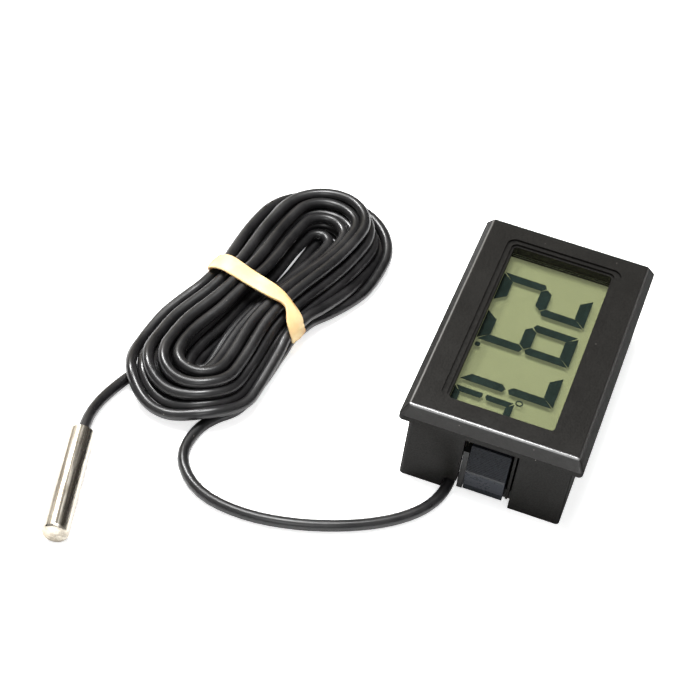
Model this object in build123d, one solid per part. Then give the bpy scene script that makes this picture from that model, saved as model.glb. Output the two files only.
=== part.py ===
"""Panel thermometer module with a liquid crystal display, a wound sensor lead and a steel probe.

Frame: the module lies on its rear rim at z = 0 with the display facing +Z.  +X is the reading
direction of the digits, +Y is towards their top, and the origin is the middle of the rear rim.
All sizes are millimetres.
"""
from build123d import *
import math
import os

os.makedirs("parts", exist_ok=True)

# ---- driving dimensions -------------------------------------------------------------------
flange_length = 48.0          # front bezel along X
flange_width = 28.6           # front bezel along Y
module_depth = 15.2           # rear rim to bezel face
flange_thickness = 2.7
flange_corner_r = 0.7
flange_bevel = 1.1            # the face is this much smaller all round than the outer edge
flange_edge = 0.9             # upright outer edge below the bevel
face_edge_r = 0.6
body_length = 45.8            # box behind the bezel, for a 46 x 26.6 panel opening
body_width = 25.6
body_corner_r = 0.6
wall = 1.2
window_x = 18.5               # half length of the display opening
window_y_low = -8.35
window_y_high = 8.15
step_depths = (0.35, 0.7)     # two shallow steps around the opening, below the face
roof_z = 13.4                 # inner face of the bezel plate
post_x = 20.5                 # board screw posts
post_y = 9.0
post_r = 1.25
screw_r = 0.5
head_r = 1.05
latch_y = 0.4                 # middle of the snap tongue on the +X end
tongue_width = 6.2
tongue_slot = 8.5             # opening in the end wall for the tongue
ridge_z = 5.5                 # widest point of the tongue
ridge_x = 23.6
hinge_x = 21.2                # root bead of the tongue, held in the rear cover's edge
hinge_z = 1.5
bead_r = 0.55
bead_clearance = 0.05
plate_x = 21.5                # rear cover plate, half length
plate_y = 11.4
plate_low = 0.6
plate_high = 2.4
cell_r = 5.8                  # LR44 button cell
cell_height = 5.4
cell_x = (-13.0, -0.2)
cell_low = 1.65
well_r = 6.0
cup_r = 6.9
well_roof = 7.9
cup_top = 8.5
door_x = (-20.05, 6.75)
door_y = 6.75
door_travel = 4.0
tab_starts = (-16.5, -8.0, 1.5)
tab_length = 3.0
board_low = 9.2
board_high = 10.2
board_x = 21.4
board_y = 11.0
glass_x = 19.2
glass_y = 10.4
rear_glass_y = 8.6            # the rear glass stops short and leaves the contact ledge
reflector_low = 11.47
reflector_high = 11.67
rear_glass_top = 12.37
front_glass_low = 12.45
front_glass_top = 13.15
polariser_top = 13.35
cord_d = 1.8
wire_r = 0.35
notch_y = (-5.95, -3.8)       # cord notch in the rim, beside the +X snap tongue
notch_top = 2.15
hank_height = 7.6
band_width = 4.4
band_thickness = 0.8
probe_r = 2.0
probe_length = 20.0
probe_wall = 0.3
probe_mouth = Vector(37.8, -59.0, probe_r)
probe_dir = Vector(0.973, 0.231, 0).normalized()

# ---- cord routes, point by point -----------------------------------------------------------
lead_route = [
    (12.5, -5.6, 3.6),
    (16.4, -5.45, 3.45),
    (20.4, -5.0, 1.05),
    (24.9, -4.95, 0.95),
    (29.3, -6.7, 0.92),
    (33.5, -10.5, 0.92),
    (37.2, -16.2, 0.92),
    (40.2, -23.4, 0.92),
    (41.7, -31.2, 0.92),
    (40.6, -39.0, 0.92),
    (35.2, -44.2, 0.92),
    (28.6, -44.0, 0.92),
    (25.0, -42.0, 0.92),
]
tail_route = [
    (19.5, -56.2, 1.0),
    (24.8, -58.5, 0.95),
    (31.0, -60.0, 1.05),
    (36.83, -59.23, 1.98),
    (40.23, -58.42, 2.0),
]
hank_outline = [
    (29.5, -46.5),
    (28.3, -52.8),
    (23.4, -57.2),
    (15.5, -58.6),
    (6.5, -56.6),
    (-1.5, -53.8),
    (-10.5, -52.2),
    (-20.0, -50.8),
    (-27.4, -47.6),
    (-31.2, -41.8),
    (-29.6, -35.2),
    (-24.0, -30.2),
    (-15.5, -28.6),
    (-6.5, -31.2),
    (2.0, -35.4),
    (10.0, -36.4),
    (18.4, -37.6),
    (25.4, -40.6),
]
band_centre = Vector(1.0, -45.0, 0)
band_across = Vector(0.27, 0.963, 0).normalized()


# ---- small helpers -------------------------------------------------------------------------
def block(x0, x1, y0, y1, z0, z1):
    return Pos((x0 + x1) / 2, (y0 + y1) / 2, (z0 + z1) / 2) * Box(x1 - x0, y1 - y0, z1 - z0)


def rounded_block(x0, x1, y0, y1, z0, z1, r):
    shape = block(x0, x1, y0, y1, z0, z1)
    return fillet(shape.edges().filter_by(Axis.Z), r)


def rod(x, y, z0, z1, r):
    return Pos(x, y, (z0 + z1) / 2) * Cylinder(r, z1 - z0)


def rod_y(x, z, y0, y1, r):
    return Pos(x, (y0 + y1) / 2, z) * Rot(90, 0, 0) * Cylinder(r, y1 - y0)


def turned(shape):
    """The same shape at the other end of the module, half a turn about Z."""
    return Rot(0, 0, 180) * shape


def bent_strip(x_mid, width, points, thickness):
    """A sheet metal strip bent in the YZ plane, from rectangles joined by round corners."""
    strip = None
    for (y0, z0), (y1, z1) in zip(points, points[1:]):
        length = math.hypot(y1 - y0, z1 - z0)
        tilt = math.degrees(math.atan2(z1 - z0, y1 - y0))
        leg = Pos(x_mid, (y0 + y1) / 2, (z0 + z1) / 2) * Rot(tilt, 0, 0) * Box(width, length, thickness)
        strip = leg if strip is None else strip + leg
    for y, z in points[1:-1]:
        strip += Pos(x_mid, y, z) * Rot(0, 90, 0) * Cylinder(thickness / 2, width)
    return strip


def bend_radii(points):
    """Each corner's arc takes 0.45 of the shorter run beside it."""
    radii = []
    for before, here, after in zip(points, points[1:], points[2:]):
        run_in = Vector(*here) - Vector(*before)
        run_out = Vector(*after) - Vector(*here)
        half_turn = math.radians(run_in.get_angle(run_out)) / 2
        radii.append(0.45 * min(run_in.length, run_out.length) / math.tan(half_turn))
    return radii


def tube(points, r, name):
    radii = bend_radii(points)
    path = FilletPolyline(*points, radius=radii)
    start = Plane(origin=path @ 0, z_dir=path % 0)
    solid = sweep(start * Circle(r), path=path)
    print(name, "length", round(path.length, 1), "radii", [round(value, 1) for value in radii],
          "volume ratio", round(solid.volume / (math.pi * r * r * path.length), 4))
    return solid


def group(shapes):
    return Compound(children=list(shapes))


def save(node, shape):
    shape.label = node
    export_step(shape, f"parts/{node}.step")


# ---- housing -------------------------------------------------------------------------------
def window_cut():
    low, mid = step_depths
    cut = rounded_block(-19.6, 19.6, -9.6, 9.6, module_depth - low, module_depth + 1, 1.6)
    cut += rounded_block(-18.9, 18.9, window_y_low - 0.4, window_y_high + 0.4,
                         module_depth - mid, module_depth + 1, 1.0)
    cut += rounded_block(-window_x, window_x, window_y_low, window_y_high, 12, module_depth + 1, 0.6)
    return cut


def tongue_opening():
    """The cut-out for a snap tongue, open at the rim, with a thin guard rib in its +Y slot."""
    low_y = latch_y - tongue_slot / 2
    high_y = latch_y + tongue_slot / 2
    opening = block(wall_in_x - 0.5, body_length / 2 + 0.5, low_y, high_y, -1, 11.6)
    rib = block(wall_in_x - 0.5, wall_in_x + 0.8, high_y - 0.75, high_y - 0.35, 1.4, 11.6)
    return opening - rib


def cord_notch():
    notch = block(wall_in_x - 0.5, body_length / 2 + 0.5, notch_y[0], notch_y[1], -1, notch_top)
    corner = notch.edges().filter_by(Axis.X).sort_by(Axis.Z)[-2:].sort_by(Axis.Y)[0]
    return fillet(corner, 0.95)


def housing():
    flange_low = module_depth - flange_thickness
    edge_top = flange_low + flange_edge
    shell = rounded_block(-flange_length / 2, flange_length / 2, -flange_width / 2, flange_width / 2,
                          flange_low, edge_top, flange_corner_r)
    outer = Plane.XY.offset(edge_top) * RectangleRounded(flange_length, flange_width, flange_corner_r)
    inner = Plane.XY.offset(module_depth) * RectangleRounded(
        flange_length - 2 * flange_bevel, flange_width - 2 * flange_bevel, flange_corner_r - 0.25)
    shell += loft([outer, inner], ruled=True)
    shell = fillet(shell.faces().sort_by(Axis.Z)[-1].edges(), face_edge_r)
    shell += rounded_block(-body_length / 2, body_length / 2, -body_width / 2, body_width / 2,
                           0, flange_low + 0.1, body_corner_r)
    shell -= rounded_block(-wall_in_x, wall_in_x, -wall_in_y, wall_in_y, -1, roof_z, 0.4)
    shell -= window_cut()
    for end in (lambda s: s, turned):
        shell -= end(tongue_opening())
    shell -= cord_notch()
    for sx in (-1, 1):
        for sy in (-1, 1):
            shell += rod(sx * post_x, sy * post_y, board_high, roof_z + 0.2, post_r)
            shell -= rod(sx * post_x, sy * post_y, board_high - 0.1, 12.9, screw_r)
            rib_y = sorted((sy * 11.15, sy * (wall_in_y + 0.1)))
            shell += block(sx * 16 - 0.6, sx * 16 + 0.6, *rib_y, plate_high + 0.05, 8.0)
            nib_y = sorted((sy * (wall_in_y - 0.1), sy * (wall_in_y + 0.4)))
            shell -= block(sx * 9.6 - 1.7, sx * 9.6 + 1.7, *nib_y, 1.05, 2.05)
    return shell


# ---- snap tongues --------------------------------------------------------------------------
def snap_tongue():
    """Wedge tongue: root bead, ramp out to the ridge, then fine teeth back in to the free end."""
    teeth = 16
    top_z = 10.3
    top_x = 22.5
    outline = [(21.9, 1.1), (22.85, 1.1), (22.85, 2.1), (ridge_x, ridge_z)]
    for k in range(teeth):
        low = ridge_z + 0.25 + (top_z - ridge_z - 0.25) * k / teeth
        high = ridge_z + 0.25 + (top_z - ridge_z - 0.25) * (k + 1) / teeth
        x_here = ridge_x - 0.1 + (top_x - ridge_x + 0.1) * k / teeth
        x_next = ridge_x - 0.1 + (top_x - ridge_x + 0.1) * (k + 1) / teeth
        outline.append((x_here, low))
        outline.append((x_next + 0.05, high - 0.02))
    outline += [(top_x, top_z), (21.9, top_z)]
    profile = Plane.XZ * make_face(Polyline(*outline, close=True))
    tongue = Pos(0, latch_y + tongue_width / 2, 0) * extrude(profile, tongue_width)
    low_y = latch_y - tongue_width / 2 + 0.1
    high_y = latch_y + tongue_width / 2 - 0.1
    tongue += rod_y(hinge_x, hinge_z, low_y, high_y, bead_r)
    tongue += block(hinge_x, 22.2, low_y, high_y, hinge_z - 0.3, hinge_z + 0.3)
    return tongue


# ---- rear cover and battery door -----------------------------------------------------------
def rear_cover():
    plate = rounded_block(-plate_x, plate_x, -plate_y, plate_y, plate_low, plate_high, 0.5)
    for x in cell_x:
        plate += rod(x, 0, plate_high - 0.1, cup_top, cup_r)
    for x in cell_x:
        plate -= rod(x, 0, plate_low - 0.5, well_roof, well_r)
        plate -= block(x - 1.8, x + 1.8, -7.2, -5.5, plate_high + 0.1, cup_top + 0.5)
        plate -= block(x - 1.7, x + 1.7, 4.8, 5.6, well_roof - 0.1, cup_top + 0.5)
    channel = (door_x[0] - 0.15, door_x[1] + door_travel + 0.15)
    plate -= block(*channel, -door_y - 0.15, door_y + 0.15, plate_low - 0.5, 1.5)
    plate -= block(*channel, -door_y - 0.75, door_y + 0.75, 1.0, 1.5)
    for start in tab_starts:
        gap = (start + door_travel - 0.2, start + door_travel + tab_length + 0.2)
        plate -= block(*gap, -door_y - 0.75, door_y + 0.75, plate_low - 0.5, 1.1)
    plate -= block(15.9, plate_x + 1, -6.6, -3.9, plate_low - 1, plate_high + 1)
    shield = block(20.6, 22.5, latch_y - tongue_slot / 2 + 0.12, latch_y - tongue_width / 2 - 0.15, plate_low, 8.6)
    plate += shield
    plate += turned(shield)
    groove_y = (latch_y - tongue_width / 2, latch_y + tongue_width / 2)
    groove = rod_y(hinge_x, hinge_z, *groove_y, bead_r + bead_clearance)
    plate -= groove
    plate -= turned(groove)
    for sx in (-1, 1):
        for sy in (-1, 1):
            nib_y = sorted((sy * (plate_y - 0.2), sy * (wall_in_y + 0.3)))
            plate += block(sx * 9.6 - 1.5, sx * 9.6 + 1.5, *nib_y, 1.2, 1.9)
    return plate


def battery_door():
    door = block(*door_x, -door_y, door_y, plate_low, 1.4)
    door = fillet(door.edges().filter_by(Axis.Z), 0.5)
    for start in tab_starts:
        door += block(start, start + tab_length, -door_y - 0.6, door_y + 0.6, 1.1, 1.4)
    for k in range(5):
        x = -17.6 + 1.1 * k
        door -= block(x, x + 0.5, -3.2, 3.2, plate_low - 0.5, plate_low + 0.25)
    return door


# ---- display -------------------------------------------------------------------------------
def segment(points, slant, centre):
    face = make_face(Polyline(*[(centre[0] + x + slant * y, centre[1] + y) for x, y in points], close=True))
    return Pos(0, 0, rear_glass_top + 0.01) * extrude(face, 0.06)


def digit_segments(names, centre, half_col, row, half_w, half_h, slant=0.02, gap=0.2):
    """Seven-segment shapes with mitred outer corners and pointed middle ends."""
    out_x = half_col + half_w
    in_x = half_col - half_w
    top = row + half_h
    low = row - half_h
    shapes = {
        "a": [(-out_x + gap, top), (out_x - gap, top), (in_x - gap, low), (-in_x + gap, low)],
        "b": [(out_x, top - gap), (out_x, half_h * 0.6), (half_col, gap), (in_x, half_h * 0.95),
              (in_x, low + gap)],
        "f": [(-out_x, top - gap), (-in_x, low + gap), (-in_x, half_h * 0.95), (-half_col, gap),
              (-out_x, half_h * 0.6)],
        "g": [(-half_col + gap, 0), (-in_x + gap, half_h), (in_x - gap, half_h), (half_col - gap, 0),
              (in_x - gap, -half_h), (-in_x + gap, -half_h)],
    }
    shapes["c"] = [(x, -y) for x, y in reversed(shapes["b"])]
    shapes["d"] = [(x, -y) for x, y in reversed(shapes["a"])]
    shapes["e"] = [(x, -y) for x, y in reversed(shapes["f"])]
    return [segment(shapes[name], slant, centre) for name in names]


def display_segments():
    """The lit pattern: 29.7 and a degree sign with a small C."""
    lit = []
    for names, x in (("abged", -10.55), ("abcdfg", -1.07), ("abc", 8.41)):
        lit += digit_segments(names, (x, -0.9), 2.75, 6.6, 0.8, 0.92)
    lit += digit_segments("aefd", (16.05, -3.7), 2.0, 4.2, 0.58, 0.56)
    ring = Pos(13.2, 1.66) * (Circle(0.6) - Circle(0.38))
    point = Pos(3.55, -7.85) * RectangleRounded(0.9, 0.85, 0.3)
    for shape in (ring, point):
        lit.append(Pos(0, 0, rear_glass_top + 0.01) * extrude(shape, 0.06))
    return group(lit)


def display_seal():
    ring = block(-glass_x, glass_x, -glass_y, rear_glass_y, rear_glass_top, front_glass_low)
    return ring - block(-glass_x + 0.45, glass_x - 0.45, -9.95, 8.35, rear_glass_top - 1, front_glass_low + 1)


def display_frame():
    frame = block(-20.1, 20.1, -board_y, board_y, board_high + 0.05, 13.3)
    frame -= block(-19.3, 19.3, -10.5, 10.5, 11.45, 14)
    frame -= block(-17.8, 17.8, -9.3, 8.0, 10, 12)
    frame -= block(-17.5, 17.5, 8.75, 10.35, 10, 12)
    for sx in (-1, 1):
        for sy in (-1, 1):
            frame -= rod(sx * post_x, sy * post_y, 10, 14, post_r + 0.15)
    return frame


# ---- electronics ---------------------------------------------------------------------------
def circuit_board():
    board = rounded_block(-board_x, board_x, -board_y, board_y, board_low, board_high, 0.6)
    notch = block(20.0, 23, latch_y - 4.8, latch_y + 4.8, board_low - 1, board_high + 1)
    board -= notch
    board -= turned(notch)
    for sx in (-1, 1):
        for sy in (-1, 1):
            board -= rod(sx * post_x, sy * post_y, board_low - 1, board_high + 1, screw_r + 0.15)
    return board


def controller_blob():
    blob = rod(13.8, 3.4, board_low - 1.25, board_low, 4.1)
    return fillet(blob.edges().sort_by(Axis.Z)[0], 1.1)


def chip_group(places, length, width, height):
    return group(block(x - length / 2, x + length / 2, y - width / 2, y + width / 2, board_low - height,
                       board_low) for x, y in places)


def board_screw(x, y):
    head = rod(x, y, board_low - 0.7, board_low, head_r)
    head = fillet(head.edges().sort_by(Axis.Z)[0], 0.3)
    head -= block(x - 0.65, x + 0.65, y - 0.13, y + 0.13, board_low - 0.9, board_low - 0.35)
    head -= block(x - 0.13, x + 0.13, y - 0.65, y + 0.65, board_low - 0.9, board_low - 0.35)
    shank = rod(x, y, board_low - 0.1, 12.5, screw_r)
    return head + chamfer(shank.edges().sort_by(Axis.Z)[-1], 0.25)


def negative_contact(x):
    return bent_strip(x, 3.0, [(5.2, board_low), (5.2, 7.75), (-2.6, 7.75), (2.0, 7.19)], 0.2)


def positive_contact(x):
    return bent_strip(x, 3.0, [(-6.45, board_low), (-6.45, 6.6), (-5.94, 4.6), (-6.45, 2.9)], 0.2)


def solder_joint(x, y, height):
    dome = rod(x, y, board_low - height, board_low, 0.75)
    return fillet(dome.edges().sort_by(Axis.Z)[0], 0.3)


def cell_can(x):
    can = rod(x, 0, cell_low, cell_low + cell_height - 0.2, cell_r)
    can = fillet(can.edges(), 0.4)
    return can - rod(x, 0, 6.3, 8, 4.9)


def cell_seal(x):
    return rod(x, 0, 6.3, 6.8, 4.9) - rod(x, 0, 6, 7, 4.35)


def cell_cap(x):
    cap = rod(x, 0, 6.3, cell_low + cell_height, 4.35)
    return fillet(cap.edges().sort_by(Axis.Z)[-1], 0.3)


# ---- cord, band and probe ------------------------------------------------------------------
def cord_anchor(lead):
    dab = block(13.0, 15.8, -7.9, -3.2, plate_high, 5.5)
    dab = fillet(dab.edges().filter_by(Axis.Z), 1.2)
    dab = fillet(dab.faces().sort_by(Axis.Z)[-1].edges(), 1.0)
    return dab - lead


def band_plane():
    return Plane(origin=band_centre, x_dir=band_across, z_dir=band_across.cross(Vector(0, 0, 1)))


def band_prism(shrink, width):
    section = Pos(0, 4.2) * RectangleRounded(20.8 - 2 * shrink, 8.4 - 2 * shrink, 3.6 - shrink)
    return extrude(band_plane() * section, width / 2, both=True)


def rubber_band():
    return band_prism(0, band_width) - band_prism(band_thickness, band_width + 1)


def hank_cord():
    """Outer shape of the wound turns: two lobes, drawn in where the rubber band ties them."""
    outline = make_face(Spline(*hank_outline, periodic=True))
    body = extrude(outline, hank_height)
    body = fillet(body.faces().sort_by(Axis.Z)[-1].edges(), 1.6)
    slab = extrude(band_plane() * Rectangle(60, 40), band_width / 2 + 0.05, both=True)
    return body - slab + band_prism(band_thickness, band_width + 0.4)


def along_probe(shape):
    return Plane(origin=probe_mouth, z_dir=probe_dir) * shape


def probe_sleeve():
    sleeve = rod(0, 0, 0, probe_length, probe_r)
    sleeve = fillet(sleeve.edges().sort_by(Axis.Z)[-1], 0.45)
    sleeve -= rod(0, 0, -1, probe_length - 0.5, probe_r - probe_wall)
    return along_probe(sleeve)


def probe_potting(tail):
    return along_probe(rod(0, 0, 0.25, 4.2, probe_r - probe_wall)) - tail


def thermistor_bead():
    bead = rod(0, 0, 14.6, 17.6, 1.1)
    return along_probe(fillet(bead.edges(), 0.6))


def thermistor_leads():
    return group(along_probe(rod(dx, 0, 4.2, 14.6, 0.2)) for dx in (-0.45, 0.45))


# ---- build and write every piece -------------------------------------------------------------
wall_in_x = body_length / 2 - wall
wall_in_y = body_width / 2 - wall

lead = tube(lead_route, cord_d / 2, "lead_cord")
tail = tube(tail_route, cord_d / 2, "tail_cord")
wire_ends = [(9.2, -7.0), (9.6, -4.6)]
wire_routes = [
    [(12.4, -6.02, 3.6), (10.6, -6.4, 3.9), (9.2, -7.0, 5.4), (9.2, -7.0, 8.7)],
    [(12.4, -5.2, 3.6), (10.9, -4.95, 3.9), (9.6, -4.6, 5.4), (9.6, -4.6, 8.7)],
]
tongue = snap_tongue()
positives = [positive_contact(x) for x in cell_x]
negatives = [negative_contact(x) for x in cell_x]
contact_joints = [solder_joint(x, y, 0.45) for x in cell_x for y in (-6.45, 5.2)]
for strip in positives + negatives:
    contact_joints = [joint - strip for joint in contact_joints]

pieces = {
    "housing": housing(),
    "snap_tongue_right": tongue,
    "snap_tongue_left": turned(tongue),
    "rear_cover": rear_cover(),
    "battery_door": battery_door(),
    "display_front_polariser": block(-18.95, 18.95, -9.7, 9.7, front_glass_top, polariser_top),
    "display_front_glass": block(-glass_x, glass_x, -glass_y, glass_y, front_glass_low, front_glass_top),
    "display_segments": display_segments(),
    "display_seal": display_seal(),
    "display_rear_glass": block(-glass_x, glass_x, -glass_y, rear_glass_y, reflector_high, rear_glass_top),
    "display_reflector": block(-18.95, 18.95, -10.1, 8.5, reflector_low, reflector_high),
    "elastomer_connector": block(-17.3, 17.3, 8.85, 10.25, board_high, front_glass_low),
    "display_frame": display_frame(),
    "circuit_board": circuit_board(),
    "controller_blob": controller_blob(),
    "chip_resistors": chip_group([(9.2, 9.4), (12.0, 9.4), (14.8, 9.4), (17.4, -8.6)], 1.6, 0.8, 0.45),
    "chip_capacitors": chip_group([(12.6, -9.3), (17.6, -1.8), (17.6, -4.0)], 1.6, 0.8, 0.8),
    "board_screws": group(board_screw(sx * post_x, sy * post_y) for sx in (-1, 1) for sy in (-1, 1)),
    "positive_contacts": group(positives),
    "negative_contacts": group(negatives),
    "solder_joints": group(contact_joints + [solder_joint(x, y, 0.5) for x, y in wire_ends]),
    "cell_cans": group(cell_can(x) for x in cell_x),
    "cell_seals": group(cell_seal(x) for x in cell_x),
    "cell_caps": group(cell_cap(x) for x in cell_x),
    "sensor_wire_a": tube(wire_routes[0], wire_r, "sensor_wire_a"),
    "sensor_wire_b": tube(wire_routes[1], wire_r, "sensor_wire_b"),
    "cord_anchor": cord_anchor(lead),
    "lead_cord": lead,
    "hank_cord": hank_cord(),
    "rubber_band": rubber_band(),
    "tail_cord": tail,
    "probe_sleeve": probe_sleeve(),
    "probe_potting": probe_potting(tail),
    "thermistor_bead": thermistor_bead(),
    "thermistor_leads": thermistor_leads(),
}
for node, shape in pieces.items():
    save(node, shape)
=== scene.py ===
import bpy, bmesh, math
import numpy as np
from mathutils import Matrix, Vector


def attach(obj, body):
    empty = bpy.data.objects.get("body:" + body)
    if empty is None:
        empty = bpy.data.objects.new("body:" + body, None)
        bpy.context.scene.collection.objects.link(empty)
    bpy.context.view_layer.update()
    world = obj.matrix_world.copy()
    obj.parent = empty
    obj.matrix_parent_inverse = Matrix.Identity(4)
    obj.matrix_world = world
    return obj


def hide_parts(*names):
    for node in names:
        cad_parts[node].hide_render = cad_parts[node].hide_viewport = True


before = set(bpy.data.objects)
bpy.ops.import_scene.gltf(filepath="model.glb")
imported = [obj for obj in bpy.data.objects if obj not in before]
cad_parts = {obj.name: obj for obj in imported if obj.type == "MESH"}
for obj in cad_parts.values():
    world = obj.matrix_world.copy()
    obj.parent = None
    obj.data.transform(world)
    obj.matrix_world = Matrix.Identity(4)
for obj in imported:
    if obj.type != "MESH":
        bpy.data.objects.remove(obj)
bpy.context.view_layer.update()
scene = bpy.context.scene
mm = 0.001


def newNode(tree, kind, at=(0, 0), **values):
    node = tree.nodes.new(kind)
    node.location = at
    for name, value in values.items():
        setattr(node, name, value)
    return node


def setInput(node, name, value):
    node.inputs[name].default_value = value


def addGroup(tree, group, **values):
    node = tree.nodes.new("ShaderNodeGroup")
    node.node_tree = group
    for name, value in values.items():
        node.inputs[name].default_value = value
    return node


def newMaterial(name):
    mat = bpy.data.materials.new(name)
    mat.use_nodes = True
    tree = mat.node_tree
    tree.nodes.clear()
    out = tree.nodes.new("ShaderNodeOutputMaterial")
    surface = tree.nodes.new("ShaderNodeBsdfPrincipled")
    tree.links.new(surface.outputs[0], out.inputs[0])
    where = tree.nodes.new("ShaderNodeTexCoord")
    return mat, tree, surface, where.outputs["Object"]


def startGroup(name, inputs, outputs):
    group = bpy.data.node_groups.new(name, "ShaderNodeTree")
    for label, kind, value in inputs:
        socket = group.interface.new_socket(name=label, in_out="INPUT", socket_type=kind)
        if value is not None:
            socket.default_value = value
    for label, kind in outputs:
        group.interface.new_socket(name=label, in_out="OUTPUT", socket_type=kind)
    return group, group.nodes.new("NodeGroupInput"), group.nodes.new("NodeGroupOutput")


def noiseAt(tree, vector, scale, detail=3.0, rough=0.5):
    node = tree.nodes.new("ShaderNodeTexNoise")
    node.inputs["Detail"].default_value = detail
    node.inputs["Roughness"].default_value = rough
    tree.links.new(vector, node.inputs["Vector"])
    if hasattr(scale, "default_value"):
        tree.links.new(scale, node.inputs["Scale"])
    else:
        node.inputs["Scale"].default_value = scale
    return node.outputs["Fac"]


def ramp(tree, value, low, high, outLow=0.0, outHigh=1.0):
    node = tree.nodes.new("ShaderNodeMapRange")
    node.interpolation_type = "SMOOTHSTEP"
    for name, number in (("From Min", low), ("From Max", high), ("To Min", outLow), ("To Max", outHigh)):
        node.inputs[name].default_value = number
    tree.links.new(value, node.inputs["Value"])
    return node.outputs["Result"]


def mixColour(tree, factor, a, b):
    node = tree.nodes.new("ShaderNodeMix")
    node.data_type = "RGBA"
    for socket, value in ((node.inputs[0], factor), (node.inputs[6], a), (node.inputs[7], b)):
        if hasattr(value, "is_linked"):
            tree.links.new(value, socket)
        else:
            socket.default_value = value
    return node.outputs[2]


def maths(tree, operation, a, b=None):
    node = tree.nodes.new("ShaderNodeMath")
    node.operation = operation
    for socket, value in zip(node.inputs, (a, b)):
        if value is None:
            continue
        if hasattr(value, "is_linked"):
            tree.links.new(value, socket)
        else:
            socket.default_value = value
    return node.outputs[0]


# mottled tone and a fine spark-eroded bump, shared by every moulded part
def buildMouldedGrain():
    group, gin, gout = startGroup("mouldedGrain",
        [("Vector", "NodeSocketVector", None), ("Grain Scale", "NodeSocketFloat", 2600.0),
         ("Mottle", "NodeSocketFloat", 0.35), ("Dark", "NodeSocketColor", (0.01, 0.01, 0.01, 1)),
         ("Light", "NodeSocketColor", (0.04, 0.04, 0.04, 1))],
        [("Color", "NodeSocketColor"), ("Height", "NodeSocketFloat"), ("Mask", "NodeSocketFloat")])
    grain = noiseAt(group, gin.outputs["Vector"], gin.outputs["Grain Scale"], 2.0, 0.6)
    broad = noiseAt(group, gin.outputs["Vector"], 160.0, 4.0, 0.6)
    both = maths(group, "ADD", maths(group, "MULTIPLY", grain, gin.outputs["Mottle"]),
                 maths(group, "MULTIPLY", broad, maths(group, "SUBTRACT", 1.0, gin.outputs["Mottle"])))
    mask = ramp(group, both, 0.36, 0.64)
    group.links.new(mixColour(group, mask, gin.outputs["Dark"], gin.outputs["Light"]), gout.inputs["Color"])
    group.links.new(ramp(group, grain, 0.35, 0.65), gout.inputs["Height"])
    group.links.new(mask, gout.inputs["Mask"])
    return group


# sparse pale specks of dust
def buildDustSpecks():
    group, gin, gout = startGroup("dustSpecks",
        [("Vector", "NodeSocketVector", None), ("Scale", "NodeSocketFloat", 700.0),
         ("Share", "NodeSocketFloat", 0.05)],
        [("Mask", "NodeSocketFloat")])
    cells = group.nodes.new("ShaderNodeTexVoronoi")
    group.links.new(gin.outputs["Vector"], cells.inputs["Vector"])
    group.links.new(gin.outputs["Scale"], cells.inputs["Scale"])
    near = ramp(group, cells.outputs["Distance"], 0.06, 0.14, 1.0, 0.0)
    split = group.nodes.new("ShaderNodeSeparateColor")
    group.links.new(cells.outputs["Color"], split.inputs[0])
    chosen = maths(group, "LESS_THAN", split.outputs[0], gin.outputs["Share"])
    group.links.new(maths(group, "MULTIPLY", near, chosen), gout.inputs["Mask"])
    return group


mouldedGrain = buildMouldedGrain()
dustSpecks = buildDustSpecks()


def addBump(tree, surface, height, strength, distance):
    bump = tree.nodes.new("ShaderNodeBump")
    bump.inputs["Strength"].default_value = strength
    bump.inputs["Distance"].default_value = distance
    tree.links.new(height, bump.inputs["Height"])
    tree.links.new(bump.outputs[0], surface.inputs["Normal"])
    return bump


view = {"eye": (227.92, 22.27, 229.41), "yaw": 192.555, "pitch": 44.65, "roll": 9.212, "lens": 103.67}


def placeCamera():
    yaw, pitch, roll = (math.radians(view[k]) for k in ("yaw", "pitch", "roll"))
    ahead = Vector((math.cos(pitch) * math.cos(yaw), math.cos(pitch) * math.sin(yaw), -math.sin(pitch)))
    side = ahead.cross(Vector((0, 0, 1))).normalized()
    up = side.cross(ahead)
    right = math.cos(roll) * side + math.sin(roll) * up
    top = -math.sin(roll) * side + math.cos(roll) * up
    data = bpy.data.cameras.new("camera")
    data.sensor_width = 36
    data.lens = view["lens"]
    data.clip_start, data.clip_end = 0.01, 10
    camera = bpy.data.objects.new("camera", data)
    turn = Matrix((right, top, -ahead)).transposed()
    camera.matrix_world = Matrix.Translation(Vector(view["eye"]) * mm) @ turn.to_4x4()
    scene.collection.objects.link(camera)
    scene.camera = camera


def areaLight(name, at, aim, size, power, colour=(1, 1, 1)):
    data = bpy.data.lights.new(name, "AREA")
    data.shape = "RECTANGLE"
    data.size, data.size_y = size
    data.energy = power
    data.color = colour
    lamp = bpy.data.objects.new(name, data)
    lamp.location = at
    lamp.rotation_mode = "QUATERNION"
    lamp.rotation_quaternion = (Vector(aim) - Vector(at)).to_track_quat("-Z", "Y")
    scene.collection.objects.link(lamp)


# a soft room: dark behind the module, pale overhead and behind the camera, a warm patch low on the left
def buildRoom():
    world = bpy.data.worlds.new("studio")
    scene.world = world
    world.use_nodes = True
    tree = world.node_tree
    look = tree.nodes.new("ShaderNodeTexCoord").outputs["Generated"]

    def towards(direction, low, high):
        node = tree.nodes.new("ShaderNodeVectorMath")
        node.operation = "DOT_PRODUCT"
        tree.links.new(look, node.inputs[0])
        node.inputs[1].default_value = Vector(direction).normalized()
        return ramp(tree, node.outputs["Value"], low, high)

    pale = towards((0.5, 0.2, 0.84), 0.25, 0.95)
    sky = mixColour(tree, pale, (0.075, 0.072, 0.068, 1), (0.60, 0.60, 0.60, 1))
    warm = mixColour(tree, towards((-0.70, -0.62, 0.35), 0.82, 0.96), sky, (0.60, 0.54, 0.44, 1))
    tree.links.new(warm, tree.nodes["Background"].inputs[0])
    tree.nodes["Background"].inputs[1].default_value = 1.0


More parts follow.
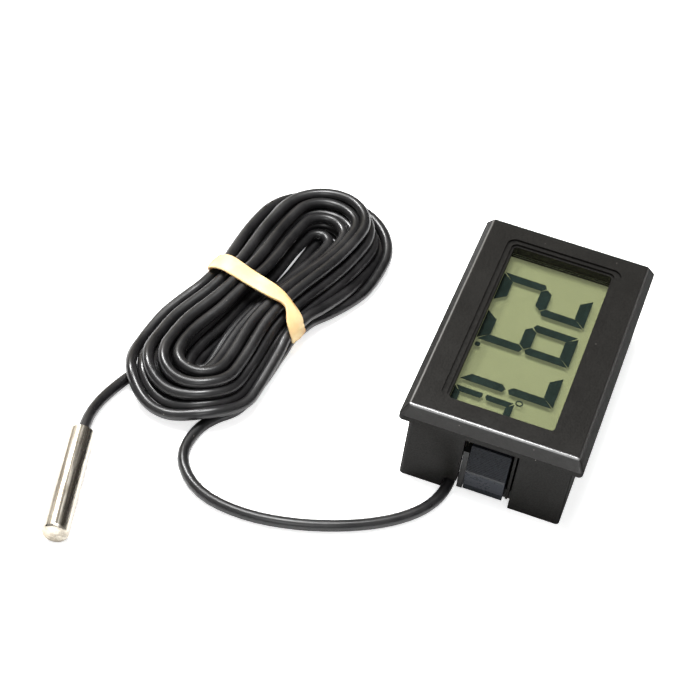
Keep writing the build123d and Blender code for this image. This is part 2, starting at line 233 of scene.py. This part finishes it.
def lightStudio():
    buildRoom()
    areaLight("overhead", (-0.06, -0.10, 0.60), (0, -0.02, 0), (0.22, 0.18), 4.4)
    areaLight("backLeft", (-0.18, -0.38, 0.47), (0, -0.045, 0), (0.12, 0.12), 3.8)
    areaLight("frontFill", (0.55, 0.12, 0.50), (0.02, -0.01, 0), (0.3, 0.3), 1.0)
    scene.view_settings.view_transform = "Standard"


def layFloor():
    mesh = bpy.data.meshes.new("floor")
    half = 1.6
    mesh.from_pydata([(-half, -half, -0.00002), (half, -half, -0.00002), (half, half, -0.00002),
                      (-half, half, -0.00002)], [], [(0, 1, 2, 3)])
    floor = bpy.data.objects.new("floor", mesh)
    mat, tree, surface, where = newMaterial("paleFloor")
    tone = ramp(tree, noiseAt(tree, where, 6.0), 0.3, 0.7)
    paper = mixColour(tree, tone, (0.90, 0.91, 0.91, 1), (0.93, 0.93, 0.93, 1))
    tree.links.new(paper, surface.inputs["Base Color"])
    setInput(surface, "Roughness", 0.9)
    setInput(surface, "Specular IOR Level", 0.1)
    setInput(surface, "Emission Color", (1, 1, 1, 1))
    # most of this glow is for the eye only; the small rest lights the parts too
    seen = tree.nodes.new("ShaderNodeLightPath").outputs["Is Camera Ray"]
    glow = maths(tree, "ADD", maths(tree, "MULTIPLY", seen, 0.55), 0.05)
    tree.links.new(glow, surface.inputs["Emission Strength"])
    mesh.materials.append(mat)
    scene.collection.objects.link(floor)


placeCamera()
lightStudio()
layFloor()
print("camera, lamps and floor")


cord = {
    "diameter": 1.8,
    "exit": (22.9, -4.95, 1.0),
    "lead": [(12.5, -5.6, 3.6), (16.4, -5.45, 3.45), (20.4, -5.0, 1.05), (24.9, -4.95, 0.95),
             (29.3, -6.7, 0.92), (33.5, -10.5, 0.92), (37.2, -16.2, 0.92), (40.2, -23.4, 0.92),
             (41.7, -31.2, 0.92), (40.6, -39.0, 0.92), (35.2, -44.2, 0.92), (28.6, -44.0, 0.92),
             (25.0, -42.0, 0.92)],
    "tail": [(19.5, -56.2, 1.0), (24.8, -58.5, 0.95), (31.0, -60.0, 1.05), (36.83, -59.23, 1.98),
             (40.23, -58.42, 2.0)],
}
hank = {
    "spacing": 2.2,                       # between the points of a turn
    "bandCentre": (1.0, -45.0), "bandHeading": -15.7,
    "upper": {"reach": 31.6, "bend": 11.8, "wide": 10.4, "skew": 0.0, "closed": 0.03, "early": 0.8},
    "lower": {"reach": 27.1, "bend": 19.0, "wide": 9.9, "skew": -0.05, "closed": 0.1, "early": 0.66},
    "bandHalf": 8.75, "bandFloor": 1.72, "bandRoof": 6.7,
    # where each turn lies: column counted from the outside, and layer
    "order": [(0.4, -0.1), (0, 0), (1, 0), (2, 0), (3, 0), (4, 0), (4.7, 0.5), (3.7, 1), (2.6, 1), (1.6, 1),
              (2.2, 2), (3.4, 2), (3.1, 3), (2.0, 3), (1.2, 2), (0.6, 1), (0.5, -0.1)],
    "pitch": 1.98, "layerRise": 1.55,
    "startAt": 0.93, "endAt": 0.60,       # where the lead joins and the tail leaves, as a share of a turn
    "over": [(26.4, -42.9), (22.6, -57.4)],   # turns rise here over the lead and over the tail
    "looseness": 0.5, "drift": 0.8, "steps": 170, "seed": 5,
}


def lobePoint(lobe, share, side, column, stretch):
    wide = max((lobe["wide"] - column * hank["pitch"]) * (1 + lobe["skew"] * side), 1.5) + stretch[1]
    reach = lobe["reach"] - column * hank["pitch"] * 1.04 + stretch[0]
    atBand = max(hank["bandHalf"] - column * 1.93, 0.95)
    straight = reach - wide
    run = share * (straight + 1.5708 * wide)
    if run < straight:
        shut = lobe["closed"] * column
        ease = min(max((run / straight - shut) / (lobe["early"] - 0.3 * shut), 0), 1)
        s, t = run, atBand + (wide - atBand) * ease * ease * (3 - 2 * ease)
    else:
        turn = (run - straight) / wide
        s, t = straight + wide * math.sin(turn), wide * math.cos(turn)
    heading = math.radians(hank["bandHeading"] + (180 if lobe is hank["upper"] else 0))
    bend = math.radians(lobe["bend"]) / lobe["reach"]
    angle, middle = heading + bend * s, heading + bend * s / 2
    flip = side if lobe is hank["lower"] else -side
    return np.array([hank["bandCentre"][0] + s * math.cos(middle) - flip * t * math.sin(angle),
                     hank["bandCentre"][1] + s * math.sin(middle) + flip * t * math.cos(angle), 0.0])


def smoothJoin(p, q, leave, arrive):
    reach = np.linalg.norm(q - p)
    leave, arrive = leave / np.linalg.norm(leave) * reach, arrive / np.linalg.norm(arrive) * reach
    u = np.linspace(0, 1, 40)[1:-1, None]
    return ((2 * u**3 - 3 * u**2 + 1) * p + (u**3 - 2 * u**2 + u) * leave
            + (3 * u**2 - 2 * u**3) * q + (u**3 - u**2) * arrive)


def firstLay(chance):
    order = hank["order"]
    count = len(order) - 1
    noise = {name: chance.normal(0, hank["looseness"], (count + 1, 2)) for name in ("upper", "lower")}
    start, end, fine = hank["startAt"] - 1.0, count - 1 + hank["endAt"], []
    for k in range(int((end - start) * 400)):
        turns = start + k / 400
        i = math.floor(turns)
        part = turns - i
        a, b = order[max(i, 0)], order[i + 1]
        move = min(max((part - 0.06) / 0.5, 0), 1)
        move = move * move * (3 - 2 * move)
        column, layer = a[0] + (b[0] - a[0]) * move, a[1] + (b[1] - a[1]) * move
        name, share, side = ("upper", part * 4, 1) if part < 0.5 else ("lower", (part - 0.5) * 4, -1)
        if share > 1:
            share, side = 2 - share, -side
        p = lobePoint(hank[name], share, side, column, noise[name][max(i, 0)] * np.array([1.0, 0.5]))
        p[2] = 0.95 + layer * hank["layerRise"] + 0.75 * (1 - share) ** 2
        if 0 < turns < count - 0.8:
            for cross in hank["over"]:
                away = (p[0] - cross[0]) ** 2 + (p[1] - cross[1]) ** 2
                p[2] += cord["diameter"] * math.exp(-away / 26) * (1 - 0.2 * layer)
        fine.append(p)
    fine, lead, tail = np.array(fine), np.array(cord["lead"]), np.array(cord["tail"])
    joinIn = smoothJoin(lead[-1], fine[0], lead[-1] - lead[-2], fine[8] - fine[0])
    joinOut = smoothJoin(fine[-1], tail[0], fine[-1] - fine[-9], tail[1] - tail[0])
    fine = np.concatenate([lead[-1:], joinIn, fine, joinOut, tail[:1]])
    along = np.concatenate([[0], np.cumsum(np.linalg.norm(np.diff(fine, axis=0), axis=1))])
    at = np.linspace(0, along[-1], int(along[-1] / hank["spacing"]))[1:-1]
    return np.stack([np.interp(at, along, fine[:, c]) for c in range(3)], axis=1)


def soften(x, reach):
    weight = np.exp(-0.5 * (np.arange(-2 * reach, 2 * reach + 1) / reach) ** 2)
    padded = np.concatenate([np.repeat(x[:1], 2 * reach, 0), x, np.repeat(x[-1:], 2 * reach, 0)])
    return sum(w * padded[k:k + len(x)] for k, w in enumerate(weight / weight.sum()))


# strands press each other apart, the band holds the waist and the bench holds the rest;
# each strand's shift from its first lay is kept smooth along the cord
def settle(x, fixed, chance):
    d, n = cord["diameter"], len(x)
    free = (~fixed).astype(float)[:, None]
    low = np.concatenate([np.arange(n), np.arange(n - 1)])
    high = np.concatenate([np.arange(n), np.arange(1, n)])
    place = np.concatenate([np.arange(n) * 2, np.arange(n - 1) * 2 + 1])
    heading = math.radians(hank["bandHeading"])
    centre = np.array([*hank["bandCentre"], 0.0])
    along = np.array([math.cos(heading), math.sin(heading), 0])
    across = np.array([-math.sin(heading), math.cos(heading), 0])
    base = x.copy()
    drift = soften(chance.normal(0, 1, (n, 3)), 6)
    drift *= hank["drift"] / drift.std(0) * np.array([1, 1, 0.4])
    drift *= np.clip(np.abs((base - centre) @ along) / 14 - 0.2, 0, 1)[:, None]
    move = drift * soften(free, 3) * free
    for step in range(hank["steps"]):
        left = 1 - step / hank["steps"]
        x = base + move
        if step % 4 == 0:
            sample = 0.5 * (x[low] + x[high])
            apart = ((sample[:, None, :] - sample[None, :, :]) ** 2).sum(2)
            a, b = np.where(np.triu(apart < (d + 1.2) ** 2, 1))
            keep = np.abs(place[a] - place[b]) > 6
            a, b = a[keep], b[keep]
        for again in range(2):
            sample = 0.5 * (x[low] + x[high])
            gap = sample[a] - sample[b]
            far = np.maximum(np.linalg.norm(gap, axis=1), 1e-6)
            short = np.clip(d * 1.01 - far, 0, None)
            hit = short > 0
            push = (0.5 * short / far)[:, None] * gap
            shift, count = np.zeros_like(x), np.zeros(n)
            for which, sign in ((a, 1), (b, -1)):
                for ends in (low, high):
                    np.add.at(shift, ends[which[hit]], sign * push[hit])
                    np.add.at(count, ends[which[hit]], 1)
            x = x + free * shift / np.maximum(count, 1)[:, None] * 1.6
            s, t = (x - centre) @ along, (x - centre) @ across
            near = (np.abs(s) < 4.5) & ~fixed
            limit = np.clip(t, -hank["bandHalf"], hank["bandHalf"])
            edge = np.clip((np.abs(limit) - (hank["bandHalf"] - 2.4)) / 2.4, 0, 1)
            ease = np.clip((np.abs(s) - 2.5) / 2.0, 0, 1)
            x[near] += ((limit - t)[:, None] * across)[near]
            x[near, 2] = np.clip(x[near, 2], (hank["bandFloor"] - 0.7 * ease + 0.8 * edge ** 2)[near],
                                 (hank["bandRoof"] + 0.8 * ease - 1.9 * edge ** 2)[near])
            x[:, 2] = np.where(fixed, x[:, 2], np.maximum(x[:, 2], d / 2 + 0.02))
        move = x - base
        move[:, 2] -= 0.02 * left
        move += (0.5 * left + 0.12) * (soften(move, 2) - move)
        move *= free
    x = base + move
    x[:, 2] = np.where(fixed, x[:, 2], np.maximum(x[:, 2], d / 2 + 0.02))
    return x


def layCord():
    chance = np.random.default_rng(hank["seed"])
    coil = firstLay(chance)
    lead, tail = np.array(cord["lead"][-5:]), np.array(cord["tail"][:4])
    x = np.concatenate([lead, coil, tail])
    fixed = np.zeros(len(x), bool)
    fixed[:5], fixed[-4:] = True, True
    x = settle(x, fixed, chance)
    return [*cord["lead"][:-5], *x.tolist(), *cord["tail"][4:]]


def makeCord():
    points = layCord()
    curve = bpy.data.curves.new("sensorCord", "CURVE")
    curve.dimensions = "3D"
    spline = curve.splines.new("NURBS")
    spline.points.add(len(points) - 1)
    for target, p in zip(spline.points, points):
        target.co = (p[0] * mm, p[1] * mm, p[2] * mm, 1)
    spline.order_u = 3
    spline.use_endpoint_u = True
    spline.resolution_u = 4
    curve.resolution_u = 4
    curve.bevel_depth = cord["diameter"] / 2 * mm
    curve.bevel_resolution = 4
    curve.use_fill_caps = True
    obj = bpy.data.objects.new("sensorCord", curve)
    scene.collection.objects.link(obj)
    run = sum((Vector(b) - Vector(a)).length for a, b in zip(points, points[1:])) * mm
    print("cord", len(points), "points", round(run, 3), "m", "top", round(max(p[2] for p in points), 2))
    return obj, run


def cordMaterial():
    mat, tree, surface, where = newMaterial("blackCordJacket")
    grain = addGroup(tree, mouldedGrain, **{"Grain Scale": 900.0, "Mottle": 0.25,
                     "Dark": (0.006, 0.006, 0.0065, 1), "Light": (0.016, 0.0155, 0.016, 1)})
    tree.links.new(where, grain.inputs["Vector"])
    dust = addGroup(tree, dustSpecks, **{"Scale": 1300.0, "Share": 0.03})
    tree.links.new(where, dust.inputs["Vector"])
    tree.links.new(mixColour(tree, dust.outputs["Mask"], grain.outputs["Color"], (0.25, 0.22, 0.2, 1)),
                   surface.inputs["Base Color"])
    tree.links.new(ramp(tree, noiseAt(tree, where, 130.0), 0.3, 0.7, 0.26, 0.38), surface.inputs["Roughness"])
    setInput(surface, "Specular IOR Level", 0.5)
    addBump(tree, surface, grain.outputs["Height"], 0.06, 0.00004)
    return mat


cordPiece, cordLength = makeCord()
cordPiece.data.materials.append(cordMaterial())
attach(cordPiece, "module")
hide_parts("lead_cord", "hank_cord", "tail_cord")
print("cord laid")


band = {
    "width": 3.3, "thick": 0.85, "half": 9.75, "low": 0.75, "high": 7.7,
    "slant": 1.7, "wave": 0.45,            # how far the loop wanders along the hank
    "foldAt": 1.05, "foldReach": 0.34,     # radians round the loop, where it turns over
    "rings": 128, "sides": 20,
}


def bandPoint(a, centre, along, across):
    c, s = math.cos(a), math.sin(a)
    t = band["half"] * math.copysign(abs(c) ** 0.55, c)
    z = (band["high"] + band["low"]) / 2 + (band["high"] - band["low"]) / 2 * math.copysign(abs(s) ** 0.75, s)
    sway = band["slant"] * c + band["wave"] * math.sin(3 * a + 0.4) + 0.2 * math.sin(5 * a)
    return centre + across * t + Vector((0, 0, z)) + along * sway


def makeBand():
    heading = math.radians(hank["bandHeading"])
    centre = Vector((*hank["bandCentre"], 0))
    along = Vector((math.cos(heading), math.sin(heading), 0))
    across = Vector((-math.sin(heading), math.cos(heading), 0))
    middle = centre + Vector((0, 0, (band["high"] + band["low"]) / 2))
    count, sides = band["rings"], band["sides"]
    bm, loops = bmesh.new(), []
    for k in range(count):
        a = 2 * math.pi * k / count
        p = bandPoint(a, centre, along, across)
        run = bandPoint(a + 0.02, centre, along, across) - bandPoint(a - 0.02, centre, along, across)
        run.normalize()
        wideWay = (along - run * along.dot(run)).normalized()
        out = wideWay.cross(run)
        if out.dot(p - middle) < 0:
            out = -out
        fold = math.exp(-((a - band["foldAt"]) / band["foldReach"]) ** 2)
        back = math.exp(-((a - 2.3) / 0.5) ** 2)
        wide = band["width"] / 2 * (1 - 0.22 * fold + 0.08 * math.sin(2 * a) + 0.10 * back)
        twist = 0.55 * fold - 0.16 * back
        for j in range(sides):
            b = 2 * math.pi * j / sides
            u = wide * math.copysign(abs(math.cos(b)) ** 0.6, math.cos(b))
            v = band["thick"] / 2 * math.copysign(abs(math.sin(b)) ** 0.8, math.sin(b))
            v += 0.16 * math.cos(math.pi * u / wide * 1.5) * (0.4 + 0.6 * fold)
            sideways = u * math.cos(twist) - v * math.sin(twist)
            outwards = u * math.sin(twist) + v * math.cos(twist) + 0.25 * fold
            q = p + wideWay * sideways + out * outwards
            q.z = max(q.z, 0.03)
            if j == 0:
                loops.append([])
            loops[-1].append(bm.verts.new(q * mm))
    for k in range(count):
        for j in range(sides):
            m, n = (k + 1) % count, (j + 1) % sides
            bm.faces.new((loops[k][j], loops[m][j], loops[m][n], loops[k][n]))
    bmesh.ops.recalc_face_normals(bm, faces=bm.faces)
    mesh = bpy.data.meshes.new("rubberBand")
    bm.to_mesh(mesh)
    bm.free()
    mesh.shade_smooth()
    obj = bpy.data.objects.new("rubberBand", mesh)
    scene.collection.objects.link(obj)
    return obj


def bandMaterial():
    mat, tree, surface, where = newMaterial("creamBand")
    broad = ramp(tree, noiseAt(tree, where, 260.0, 3.0), 0.35, 0.7)
    fine = ramp(tree, noiseAt(tree, where, 1500.0, 2.0), 0.3, 0.7)
    tone = mixColour(tree, broad, (0.80, 0.56, 0.27, 1), (0.87, 0.68, 0.37, 1))
    # painted shade: deeper orange where the rubber turns away from the eye
    edgeShade = tree.nodes.new("ShaderNodeLayerWeight")
    edgeShade.inputs["Blend"].default_value = 0.35
    tone = mixColour(tree, ramp(tree, edgeShade.outputs["Facing"], 0.35, 0.95), tone, (0.46, 0.22, 0.07, 1))
    tree.links.new(tone, surface.inputs["Base Color"])
    setInput(surface, "Subsurface Weight", 0.15)
    setInput(surface, "Subsurface Radius", (0.8, 0.4, 0.15))
    setInput(surface, "Subsurface Scale", 0.0006)
    setInput(surface, "Specular IOR Level", 0.3)
    tree.links.new(ramp(tree, fine, 0, 1, 0.48, 0.62), surface.inputs["Roughness"])
    addBump(tree, surface, fine, 0.15, 0.00005)
    return mat


bandPiece = makeBand()
bandPiece.data.materials.append(bandMaterial())
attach(bandPiece, "module")
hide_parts("rubber_band")
print("band")


def moulded(name, dark, light, grainScale, mottle, roughLow, roughHigh, bump, shine=0.4, dustShare=0.02):
    mat, tree, surface, where = newMaterial(name)
    grain = addGroup(tree, mouldedGrain, **{"Grain Scale": grainScale, "Mottle": mottle,
                                            "Dark": dark, "Light": light})
    tree.links.new(where, grain.inputs["Vector"])
    dust = addGroup(tree, dustSpecks, **{"Scale": 1500.0, "Share": dustShare})
    tree.links.new(where, dust.inputs["Vector"])
    tree.links.new(mixColour(tree, dust.outputs["Mask"], grain.outputs["Color"], (0.22, 0.2, 0.19, 1)),
                   surface.inputs["Base Color"])
    tree.links.new(ramp(tree, grain.outputs["Mask"], 0, 1, roughLow, roughHigh), surface.inputs["Roughness"])
    setInput(surface, "Specular IOR Level", shine)
    addBump(tree, surface, grain.outputs["Height"], bump, 0.00003)
    return mat


# shine and roughness follow the way a face points. The values are set to give the edges a light line and keep
# the walls dark; no wear on a real part is known
def polishEdges(mat, wallShine, faceShine, edgeShine, endShine=0.0):
    tree = mat.node_tree
    surface = next(n for n in tree.nodes if n.type == "BSDF_PRINCIPLED")
    coords = next(n for n in tree.nodes if n.type == "TEX_COORD")
    split = tree.nodes.new("ShaderNodeSeparateXYZ")
    tree.links.new(coords.outputs["Normal"], split.inputs[0])
    up = split.outputs["Z"]
    edge = maths(tree, "MULTIPLY", ramp(tree, up, 0.60, 0.72), ramp(tree, up, 0.93, 0.985, 1.0, 0.0))
    side = ramp(tree, maths(tree, "ABSOLUTE", split.outputs["Y"]), 0.55, 0.75)
    end = maths(tree, "MULTIPLY", ramp(tree, maths(tree, "ABSOLUTE", split.outputs["X"]), 0.5, 0.7),
                ramp(tree, up, 0.3, 0.45))
    shine = ramp(tree, up, 0.25, 0.45, wallShine, faceShine)
    shine = maths(tree, "ADD", shine, maths(tree, "MULTIPLY", edge, edgeShine - faceShine))
    shine = maths(tree, "ADD", shine, maths(tree, "MULTIPLY", end, endShine))
    shine = maths(tree, "MULTIPLY", shine, ramp(tree, side, 0.0, 1.0, 1.0, 0.25))
    tree.links.new(shine, surface.inputs["Specular IOR Level"])
    rough = surface.inputs["Roughness"].links[0].from_socket
    rough = maths(tree, "ADD", rough, maths(tree, "MULTIPLY", side, 0.28))
    rough = maths(tree, "ADD", rough, maths(tree, "MULTIPLY", edge, 0.08))
    tree.links.new(rough, surface.inputs["Roughness"])


# painted reflection: a paler tone on faces that point slightly down, standing in for the pale floor they
# mirror; on a tongue these faces are its ramp
def paintRampReflection(mat):
    tree = mat.node_tree
    surface = next(n for n in tree.nodes if n.type == "BSDF_PRINCIPLED")
    split = tree.nodes.new("ShaderNodeSeparateXYZ")
    tree.links.new(next(n for n in tree.nodes if n.type == "TEX_COORD").outputs["Normal"], split.inputs[0])
    base = surface.inputs["Base Color"].links[0].from_socket
    # painted reflection of the floor, as a paler colour on down-facing faces
    floorReflection = ramp(tree, split.outputs["Z"], -0.30, -0.10, 0.85, 0.0)
    tree.links.new(mixColour(tree, floorReflection, base, (0.052, 0.056, 0.066, 1)), surface.inputs["Base Color"])


def plain(name, dark, light, rough=(0.4, 0.5), metallic=0.0, scale=600.0, bump=0.08, **extra):
    mat, tree, surface, where = newMaterial(name)
    tone = ramp(tree, noiseAt(tree, where, scale), 0.3, 0.7)
    tree.links.new(mixColour(tree, tone, dark, light), surface.inputs["Base Color"])
    tree.links.new(ramp(tree, tone, 0, 1, *rough), surface.inputs["Roughness"])
    setInput(surface, "Metallic", metallic)
    for socket, value in extra.items():
        setInput(surface, socket.replace("_", " "), value)
    addBump(tree, surface, tone, bump, 0.00002)
    return mat


def reflectorMaterial():
    mat, tree, surface, where = newMaterial("reflectorFilm")
    broad = ramp(tree, noiseAt(tree, where, 70.0, 3.0), 0.3, 0.7)
    grain = noiseAt(tree, where, 3200.0, 2.0)
    tone = mixColour(tree, broad, (0.70, 0.72, 0.40, 1), (0.76, 0.78, 0.45, 1))
    tree.links.new(mixColour(tree, ramp(tree, grain, 0.3, 0.7, 0.0, 0.3), tone, (0.80, 0.81, 0.55, 1)),
                   surface.inputs["Base Color"])
    # the real film doesn't glow: this makes up for what the pane hides at 45 degrees and lower
    setInput(surface, "Emission Color", (0.80, 0.84, 0.52, 1))
    setInput(surface, "Emission Strength", 0.75)
    setInput(surface, "Roughness", 0.5)
    return mat


# known fault: on the pane's inner faces the Fresnel value is a full mirror past about 44 degrees off
# square, which hides most of the film. The film's glow makes up for it, and is too bright from above
def windowMaterial():
    mat, tree, surface, where = newMaterial("displayPane")
    setInput(surface, "Base Color", (0.01, 0.01, 0.008, 1))
    tree.links.new(ramp(tree, noiseAt(tree, where, 500.0), 0.3, 0.7, 0.10, 0.17), surface.inputs["Roughness"])
    clear = tree.nodes.new("ShaderNodeBsdfTransparent")
    clear.inputs[0].default_value = (0.97, 0.985, 0.94, 1)
    fresnel = tree.nodes.new("ShaderNodeFresnel")
    fresnel.inputs["IOR"].default_value = 1.45
    both = tree.nodes.new("ShaderNodeMixShader")
    tree.links.new(maths(tree, "MULTIPLY", fresnel.outputs[0], 0.8), both.inputs[0])
    tree.links.new(clear.outputs[0], both.inputs[1])
    tree.links.new(surface.outputs[0], both.inputs[2])
    out = next(n for n in tree.nodes if n.type == "OUTPUT_MATERIAL")
    tree.links.new(both.outputs[0], out.inputs[0])
    return mat


def nodeBox(*names):
    spots = [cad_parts[n].matrix_world @ Vector(c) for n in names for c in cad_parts[n].bound_box]
    return [[f(p[i] for p in spots) for i in range(3)] for f in (min, max)]


def slab(name, low, high, bevel):
    bm = bmesh.new()
    bmesh.ops.create_cube(bm, size=1.0)
    for v in bm.verts:
        v.co = Vector([(low[i] + high[i]) / 2 + v.co[i] * (high[i] - low[i]) for i in range(3)])
    bmesh.ops.bevel(bm, geom=bm.edges[:], offset=bevel, segments=3, profile=0.5, affect="EDGES")
    bmesh.ops.recalc_face_normals(bm, faces=bm.faces)
    mesh = bpy.data.meshes.new(name)
    bm.to_mesh(mesh)
    bm.free()
    obj = bpy.data.objects.new(name, mesh)
    scene.collection.objects.link(obj)
    return obj


# the panes are bonded, so the eye meets one clear body in front of the segments and the film behind them
def makeDisplay():
    low, high = nodeBox("display_front_polariser", "display_front_glass")
    pane = slab("displayPane", low, high, 0.00008)
    pane.data.materials.append(windowMaterial())
    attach(pane, "module")
    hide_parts("display_front_polariser", "display_front_glass")
    low, high = nodeBox("display_reflector", "display_rear_glass")
    high[2] = nodeBox("display_reflector")[1][2]
    film = slab("displayBacking", low, high, 0.00003)
    film.data.materials.append(reflectorMaterial())
    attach(film, "module")
    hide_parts("display_reflector", "display_rear_glass")


def drawnSteel():
    mat, tree, surface, where = newMaterial("drawnSteel")
    squash = tree.nodes.new("ShaderNodeMapping")
    squash.vector_type = "TEXTURE"
    squash.inputs["Rotation"].default_value = (0, 0, math.radians(13.4))
    squash.inputs["Scale"].default_value = (30, 1, 1)
    tree.links.new(where, squash.inputs["Vector"])
    lines = noiseAt(tree, squash.outputs[0], 2600.0, 3.0, 0.6)
    stain = ramp(tree, noiseAt(tree, where, 240.0, 4.0, 0.6), 0.4, 0.72)
    # painted reflection: darker streaks along the tube stand in for the dark room it mirrors
    darkReflectionStreak = ramp(tree, noiseAt(tree, squash.outputs[0], 700.0, 1.0), 0.50, 0.60)
    tone = mixColour(tree, ramp(tree, lines, 0.3, 0.7), (0.58, 0.53, 0.44, 1), (0.72, 0.68, 0.60, 1))
    tone = mixColour(tree, maths(tree, "MULTIPLY", darkReflectionStreak, 0.6), tone, (0.24, 0.21, 0.18, 1))
    tree.links.new(mixColour(tree, stain, tone, (0.44, 0.39, 0.31, 1)), surface.inputs["Base Color"])
    setInput(surface, "Metallic", 1.0)
    tree.links.new(ramp(tree, lines, 0.3, 0.7, 0.20, 0.34), surface.inputs["Roughness"])
    addBump(tree, surface, lines, 0.12, 0.00003)
    return mat


def dress(material, *nodes):
    for node in nodes:
        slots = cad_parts[node].data.materials
        slots.clear()
        slots.append(material)


def dressFrame():
    bezel = moulded("bezelPlastic", (0.0070, 0.0066, 0.0060, 1), (0.0120, 0.0114, 0.0102, 1),
                    4200.0, 0.75, 0.28, 0.34, 0.22, 0.36)
    tongue = moulded("tonguePlastic", (0.009, 0.0100, 0.0125, 1), (0.015, 0.0175, 0.0215, 1),
                     2200.0, 0.5, 0.26, 0.36, 0.08)
    polishEdges(tongue, 0.10, 0.9, 0.9)
    paintRampReflection(tongue)
    cover = moulded("coverPlastic", (0.008, 0.008, 0.008, 1), (0.016, 0.016, 0.016, 1),
                    1800.0, 0.5, 0.35, 0.5, 0.12)
    polishEdges(bezel, 0.10, 0.36, 2.4, 0.60)
    dress(bezel, "housing")
    dress(tongue, "snap_tongue_right", "snap_tongue_left")
    dress(cover, "rear_cover", "battery_door", "display_frame")
    dress(plain("segmentInk", (0.012, 0.050, 0.056, 1), (0.018, 0.066, 0.074, 1)), "display_segments")
    dress(plain("sealEpoxy", (0.2, 0.21, 0.17, 1), (0.26, 0.27, 0.22, 1)), "display_seal")
    dress(plain("stripedElastomer", (0.62, 0.30, 0.36, 1), (0.75, 0.45, 0.48, 1)), "elastomer_connector")
    dress(plain("greenBoard", (0.012, 0.09, 0.03, 1), (0.02, 0.13, 0.045, 1), (0.25, 0.35)), "circuit_board")
    dress(plain("epoxyBlob", (0.008, 0.008, 0.008, 1), (0.014, 0.014, 0.014, 1), (0.12, 0.22)),
          "controller_blob")
    dress(plain("chipBlack", (0.01, 0.01, 0.012, 1), (0.02, 0.02, 0.022, 1)), "chip_resistors")
    dress(plain("chipTan", (0.38, 0.25, 0.13, 1), (0.48, 0.33, 0.19, 1)), "chip_capacitors")
    dress(plain("zincScrews", (0.55, 0.55, 0.57, 1), (0.68, 0.68, 0.7, 1), (0.25, 0.35), 1.0), "board_screws")
    dress(plain("springStrip", (0.6, 0.57, 0.52, 1), (0.72, 0.69, 0.64, 1), (0.2, 0.3), 1.0),
          "positive_contacts", "negative_contacts")
    dress(plain("solderBright", (0.6, 0.6, 0.6, 1), (0.75, 0.75, 0.75, 1), (0.12, 0.25), 1.0),
          "solder_joints", "thermistor_leads")
    dress(plain("cellSteel", (0.66, 0.66, 0.67, 1), (0.76, 0.76, 0.77, 1), (0.16, 0.26), 1.0),
          "cell_cans", "cell_caps")
    dress(plain("cellNylon", (0.12, 0.12, 0.12, 1), (0.18, 0.18, 0.18, 1)), "cell_seals")
    dress(plain("redInsulation", (0.35, 0.012, 0.01, 1), (0.45, 0.02, 0.015, 1)), "sensor_wire_a")
    dress(plain("blackInsulation", (0.01, 0.01, 0.01, 1), (0.02, 0.02, 0.02, 1)), "sensor_wire_b")
    dress(plain("hotMelt", (0.62, 0.58, 0.45, 1), (0.75, 0.72, 0.6, 1), (0.3, 0.4)), "cord_anchor")
    dress(plain("pottingEpoxy", (0.01, 0.01, 0.01, 1), (0.02, 0.02, 0.02, 1), (0.2, 0.3)), "probe_potting",
          "thermistor_bead")
    dress(drawnSteel(), "probe_sleeve")


# gold pads on the board, one row beside the elastomer strip
pads = {"Count": 31, "Pitch": 1.1 * mm, "Width": 0.6 * mm, "Length": 1.1 * mm, "Thickness": 0.06 * mm}


def padTree(material):
    tree = bpy.data.node_groups.new("padRow", "GeometryNodeTree")
    face = tree.interface
    face.new_socket(name="Geometry", in_out="OUTPUT", socket_type="NodeSocketGeometry")
    for name, value in pads.items():
        kind = "NodeSocketInt" if name == "Count" else "NodeSocketFloat"
        face.new_socket(name=name, in_out="INPUT", socket_type=kind).default_value = value
    start = newNode(tree, "NodeGroupInput", (-900, 0))
    end = newNode(tree, "NodeGroupOutput", (700, 0))
    step = newNode(tree, "ShaderNodeCombineXYZ", (-650, 150))
    size = newNode(tree, "ShaderNodeCombineXYZ", (-650, -150))
    line = newNode(tree, "GeometryNodeMeshLine", (-400, 150), mode="OFFSET")
    cube = newNode(tree, "GeometryNodeMeshCube", (-400, -150))
    spread = newNode(tree, "GeometryNodeInstanceOnPoints", (-100, 0))
    real = newNode(tree, "GeometryNodeRealizeInstances", (150, 0))
    paint = newNode(tree, "GeometryNodeSetMaterial", (400, 0))
    setInput(paint, "Material", material)
    for a, b in ((start.outputs["Pitch"], step.inputs["X"]), (start.outputs["Width"], size.inputs["X"]),
                 (start.outputs["Length"], size.inputs["Y"]), (start.outputs["Thickness"], size.inputs["Z"]),
                 (start.outputs["Count"], line.inputs["Count"]), (step.outputs[0], line.inputs["Offset"]),
                 (size.outputs[0], cube.inputs["Size"]), (line.outputs["Mesh"], spread.inputs["Points"]),
                 (cube.outputs["Mesh"], spread.inputs["Instance"]), (spread.outputs[0], real.inputs[0]),
                 (real.outputs[0], paint.inputs["Geometry"]), (paint.outputs[0], end.inputs[0])):
        tree.links.new(a, b)
    return tree


def makePads():
    gold = plain("goldPads", (0.72, 0.50, 0.16, 1), (0.84, 0.60, 0.24, 1), (0.22, 0.32), 1.0)
    maker = bpy.data.objects.new("padMaker", bpy.data.meshes.new("padMaker"))
    scene.collection.objects.link(maker)
    rowMaker = maker.modifiers.new("padRow", "NODES")
    tree = padTree(gold)
    rowMaker.node_group = tree
    for item in tree.interface.items_tree:
        if item.in_out == "INPUT":
            rowMaker[item.identifier] = pads[item.name]
    graph = bpy.context.evaluated_depsgraph_get()
    mesh = bpy.data.meshes.new_from_object(maker.evaluated_get(graph))
    bpy.data.objects.remove(maker)
    strip = nodeBox("elastomer_connector")
    at = Vector((-(pads["Count"] - 1) * pads["Pitch"] / 2, strip[0][1] - 0.05 * mm - pads["Length"] / 2,
                 strip[0][2] + pads["Thickness"] / 2))
    mesh.transform(Matrix.Translation(at))
    piece = bpy.data.objects.new("boardPads", mesh)
    scene.collection.objects.link(piece)
    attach(piece, "module")


makeDisplay()
makePads()
dressFrame()
print("finishes")
